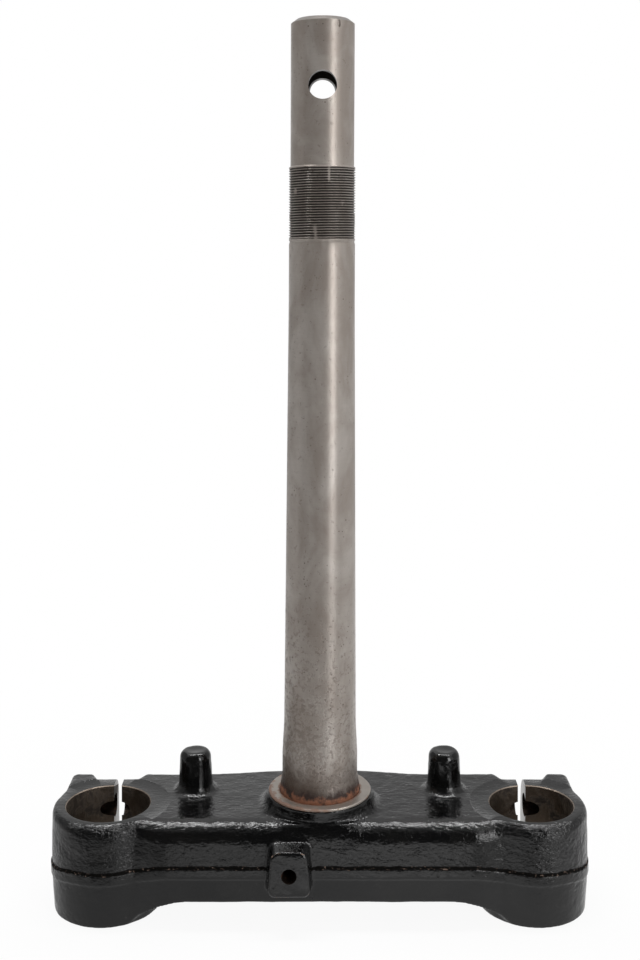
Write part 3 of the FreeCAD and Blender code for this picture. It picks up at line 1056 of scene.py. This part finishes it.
# Studio
WORLD_LEVEL = 0.45
FLOOR_REACH = 3000.0
CAMERA_PLACE = (0, -0.4877, 0.2119)
CAMERA_TILT = 87.61
CAMERA_LENS = 46.725
CAMERA_SENSOR = 36.0
CAMERA_SHIFT = (0.0002, -0.1802)


def emission(tree, strength, shade=1.0):
    """Grey light of its own."""
    inputs = {"Color": (shade, shade, shade, 1), "Strength": strength}
    return add_node(tree, "ShaderNodeEmission", inputs).outputs[0]


def mix_shaders(tree, factor, first, second):
    inputs = {0: factor, 1: first, 2: second}
    return add_node(tree, "ShaderNodeMixShader", inputs).outputs[0]


def empty_material(name):
    """Material with no nodes yet."""
    material = bpy.data.materials.new(name)
    material.use_nodes = True
    material.node_tree.nodes.clear()
    return material, material.node_tree


def make_world(level):
    """Soft even light that the camera and the gloss see as pure white."""
    world = bpy.data.worlds.new("studio")
    world.use_nodes = True
    tree = world.node_tree
    tree.nodes.clear()
    path = add_node(tree, "ShaderNodeLightPath").outputs
    seen = [path[kind] for kind in ("Is Camera Ray", "Is Glossy Ray", "Is Transmission Ray")]
    white = (1, 1, 1, 1)
    lit = add_node(tree, "ShaderNodeBackground", {"Color": white, "Strength": level})
    pure = add_node(tree, "ShaderNodeBackground", {"Color": white, "Strength": 1.0})
    both = mix_shaders(tree, largest(tree, *seen), lit.outputs[0], pure.outputs[0])
    add_node(tree, "ShaderNodeOutputWorld", {"Surface": both})
    bpy.context.scene.world = world


def mirrored_level(tree, x, y, radius):
    """How bright the floor is in the gloss paint, brighter and darker by turns as in the photo."""
    side = size_of(tree, x)
    level = times(
        tree,
        remap(tree, radius, 0.10, 0.60, 0.60, 0.90),
        remap(tree, y, -0.16, -0.095, 0.62, 1.0),
        remap(tree, x, -0.06, 0.04, 1.0, 1.28),
        remap(tree, y, -0.078, -0.052, 1.70, 0.98),
    )
    beside = remap(tree, side, 0.060, 0.078, 1.0, 0.50)
    beside = plus(tree, beside, remap(tree, side, 0.105, 0.135, 0.0, 0.55))
    near = times(tree, minus(tree, 1.0, beside), remap(tree, y, -0.068, -0.046))
    far = remap(tree, side, 0.060, 0.078, 0.0, 0.70)
    far = times(tree, far, remap(tree, y, -0.078, -0.096))
    beside = times(
        tree,
        plus(tree, beside, near),
        remap(tree, side, 0.17, 0.26, 1.0, 0.50),
        minus(tree, 1.0, far),
    )
    return times(tree, level, beside)


def make_floor():
    """Pale floor: seen directly it is white but for a soft shadow round the object."""
    material, tree = empty_material("studio_floor")
    x, y, _ = axis_values(tree)
    radius = axis_distance(tree, x, y)
    path = add_node(tree, "ShaderNodeLightPath").outputs
    seen = largest(tree, path["Is Camera Ray"], path["Is Transmission Ray"])
    seen = times(tree, seen, remap(tree, radius, 0.10, 0.30, 0.93, 1.0))
    matt = add_node(tree, "ShaderNodeBsdfDiffuse", {"Color": (0.85, 0.85, 0.85, 1)})
    direct = mix_shaders(tree, seen, matt.outputs[0], emission(tree, 1.0))
    mirrored = emission(tree, mirrored_level(tree, x, y, radius))
    complete = mix_shaders(tree, path["Is Glossy Ray"], direct, mirrored)
    add_node(tree, "ShaderNodeOutputMaterial", {"Surface": complete})
    signs = ((-1, -1), (1, -1), (1, 1), (-1, 1))
    corners = [(a * FLOOR_REACH, b * FLOOR_REACH, CLAMP_FOOT) for a, b in signs]
    floor = new_object("studio_floor", mesh_from("studio_floor", corners, [(0, 1, 2, 3)]))
    floor.data.materials.append(material)


def aim(piece, place, target):
    """Puts a piece at place and turns its -Z axis to the target."""
    direction = Vector(target) - Vector(place)
    piece.location = place
    piece.rotation_euler = direction.to_track_quat("-Z", "Y").to_euler()


def make_lamp(name, place, target, width, height, radiance):
    """Rectangular softbox of the given radiance."""
    data = bpy.data.lights.new(name, "AREA")
    data.shape = "RECTANGLE"
    data.size = width
    data.size_y = height
    data.energy = radiance * math.pi * width * height
    aim(new_object(name, data), place, target)


def make_card(name, place, target, width, height, shade):
    """Grey studio card that only gloss reflects."""
    material, tree = empty_material(name)
    add_node(tree, "ShaderNodeOutputMaterial", {"Surface": emission(tree, 1.0, shade)})
    x, y = 500 * width, 500 * height
    mesh = mesh_from(name, [(-x, -y, 0), (x, -y, 0), (x, y, 0), (-x, y, 0)], [(0, 1, 2, 3)])
    card = new_object(name, mesh)
    mesh.materials.append(material)
    aim(card, place, target)
    card.visible_camera = False
    card.visible_diffuse = False
    card.visible_shadow = False


def make_camera():
    """The photo's camera, close before the object, with its picture shifted down."""
    data = bpy.data.cameras.new("camera")
    data.sensor_fit = "VERTICAL"
    data.sensor_height = CAMERA_SENSOR
    data.lens = CAMERA_LENS
    data.shift_x, data.shift_y = CAMERA_SHIFT
    data.clip_start = 0.01
    camera = new_object("camera", data)
    camera.location = CAMERA_PLACE
    camera.rotation_euler = (math.radians(CAMERA_TILT), 0, 0)
    bpy.context.scene.camera = camera


make_yoke()
make_stem()
make_washer()
make_floor()
make_world(WORLD_LEVEL)
make_lamp("top_softbox", (0.0, 0.15, 1.80), (0, 0, 0), 1.80, 0.16, 26.0)
make_lamp("right_softbox", (0.55, -0.685, 0.13), (0, 0, 0.13), 0.26, 0.78, 4.9)
make_card("front_flag", (-1.40, -1.3, 1.10), (-1.40, 0, 1.10), 4.4, 1.60, 0.04)
make_card("high_front_flag", (-1.40, -1.3, 4.00), (-1.40, 0, 4.00), 4.4, 4.20, 0.30)
make_card("low_front_card", (-1.40, -1.3, 0.13), (-1.40, 0, 0.13), 4.4, 0.34, 0.06)
make_card("floor_flag", (-1.05, -0.705, -0.0434), (-1.05, -0.705, 1.0), 2.7, 1.17, 0.05)
make_card("floor_glow", (0.232, -0.31, -0.0424), (0.2446, -0.3256, 0.9576), 0.085, 0.37, 2.3)
make_card("rear_card_left", (-0.6, 1.2, 0.55), (-0.6, 0, 0), 1.2, 1.0, 0.68)
make_card("rear_card_right", (0.6, 1.2, 0.55), (0.6, 0, 0), 1.2, 1.0, 0.55)
make_card("left_card", (-0.95, 0.30, 0.25), (0, 0, 0.1), 1.5, 1.4, 0.30)
make_card("right_card", (0.95, 0.30, 0.25), (0, 0, 0.1), 1.5, 1.4, 0.42)
make_camera()
bpy.context.scene.view_settings.view_transform = "Standard"
